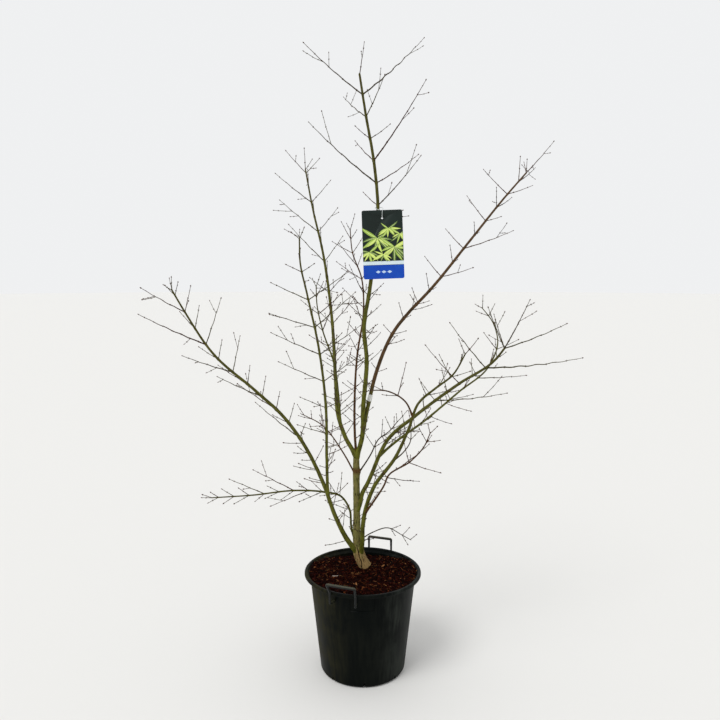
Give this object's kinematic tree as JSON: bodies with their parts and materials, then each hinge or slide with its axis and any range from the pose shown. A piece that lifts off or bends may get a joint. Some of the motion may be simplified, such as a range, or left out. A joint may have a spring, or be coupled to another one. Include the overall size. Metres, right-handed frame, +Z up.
{
  "type": "potted maple tree",
  "caption": "Young maple with a bare winter crown in a black plastic nursery pot, with bark mulch and a hanging plant tag.",
  "frame": {"origin": "centre of the pot's flat underside", "axes": "+Z up along the pot's axis; the pictured side faces -Y, with +X to its right"},
  "size_m": [1.6099, 0.8864, 2.4779],
  "materials": {
    "pot_plastic": "semi-gloss black, dusty",
    "bark_mulch": "rough bark chips",
    "trunk_bark": "matt, fissured",
    "green_bark": "smooth, satin",
    "red_bark": "smooth, satin",
    "twigs": "matt",
    "tag_plastic": "printed, glossy",
    "loop_plastic": "clear",
    "tie_tape": "matt white"
  },
  "bodies": {
    "root": {"pot": "pot_plastic", "pot_grip_back": "pot_plastic", "pot_grip_front": "pot_plastic", "mulch": "bark_mulch", "trunk": "trunk_bark", "leader": "green_bark", "fork_left": "green_bark", "fork_left_side": "green_bark", "left_bough": "green_bark", "left_upright": "green_bark", "low_left_arm": "green_bark", "right_bough": "green_bark", "right_second": "green_bark", "low_right_stem": "green_bark", "red_stem": "red_bark", "brown_bough": "red_bark", "leader_twigs": "twigs", "fork_left_twigs": "twigs", "fork_left_side_twigs": "twigs", "red_stem_twigs": "twigs", "brown_bough_twigs": "twigs", "left_bough_twigs": "twigs", "left_upright_twigs": "twigs", "low_left_arm_twigs": "twigs", "right_bough_twigs": "twigs", "right_second_twigs": "twigs", "low_right_stem_twigs": "twigs", "low_right_inner_twigs": "twigs", "low_right_side_twigs": "twigs", "low_right_curl_twigs": "twigs", "trunk_left_shoot_twigs": "twigs", "trunk_right_shoot_twigs": "twigs", "low_right_twig_twigs": "twigs", "tag_card": "tag_plastic", "tag_loop": "loop_plastic", "white_tie": "tie_tape"}
  },
  "joints": []
}
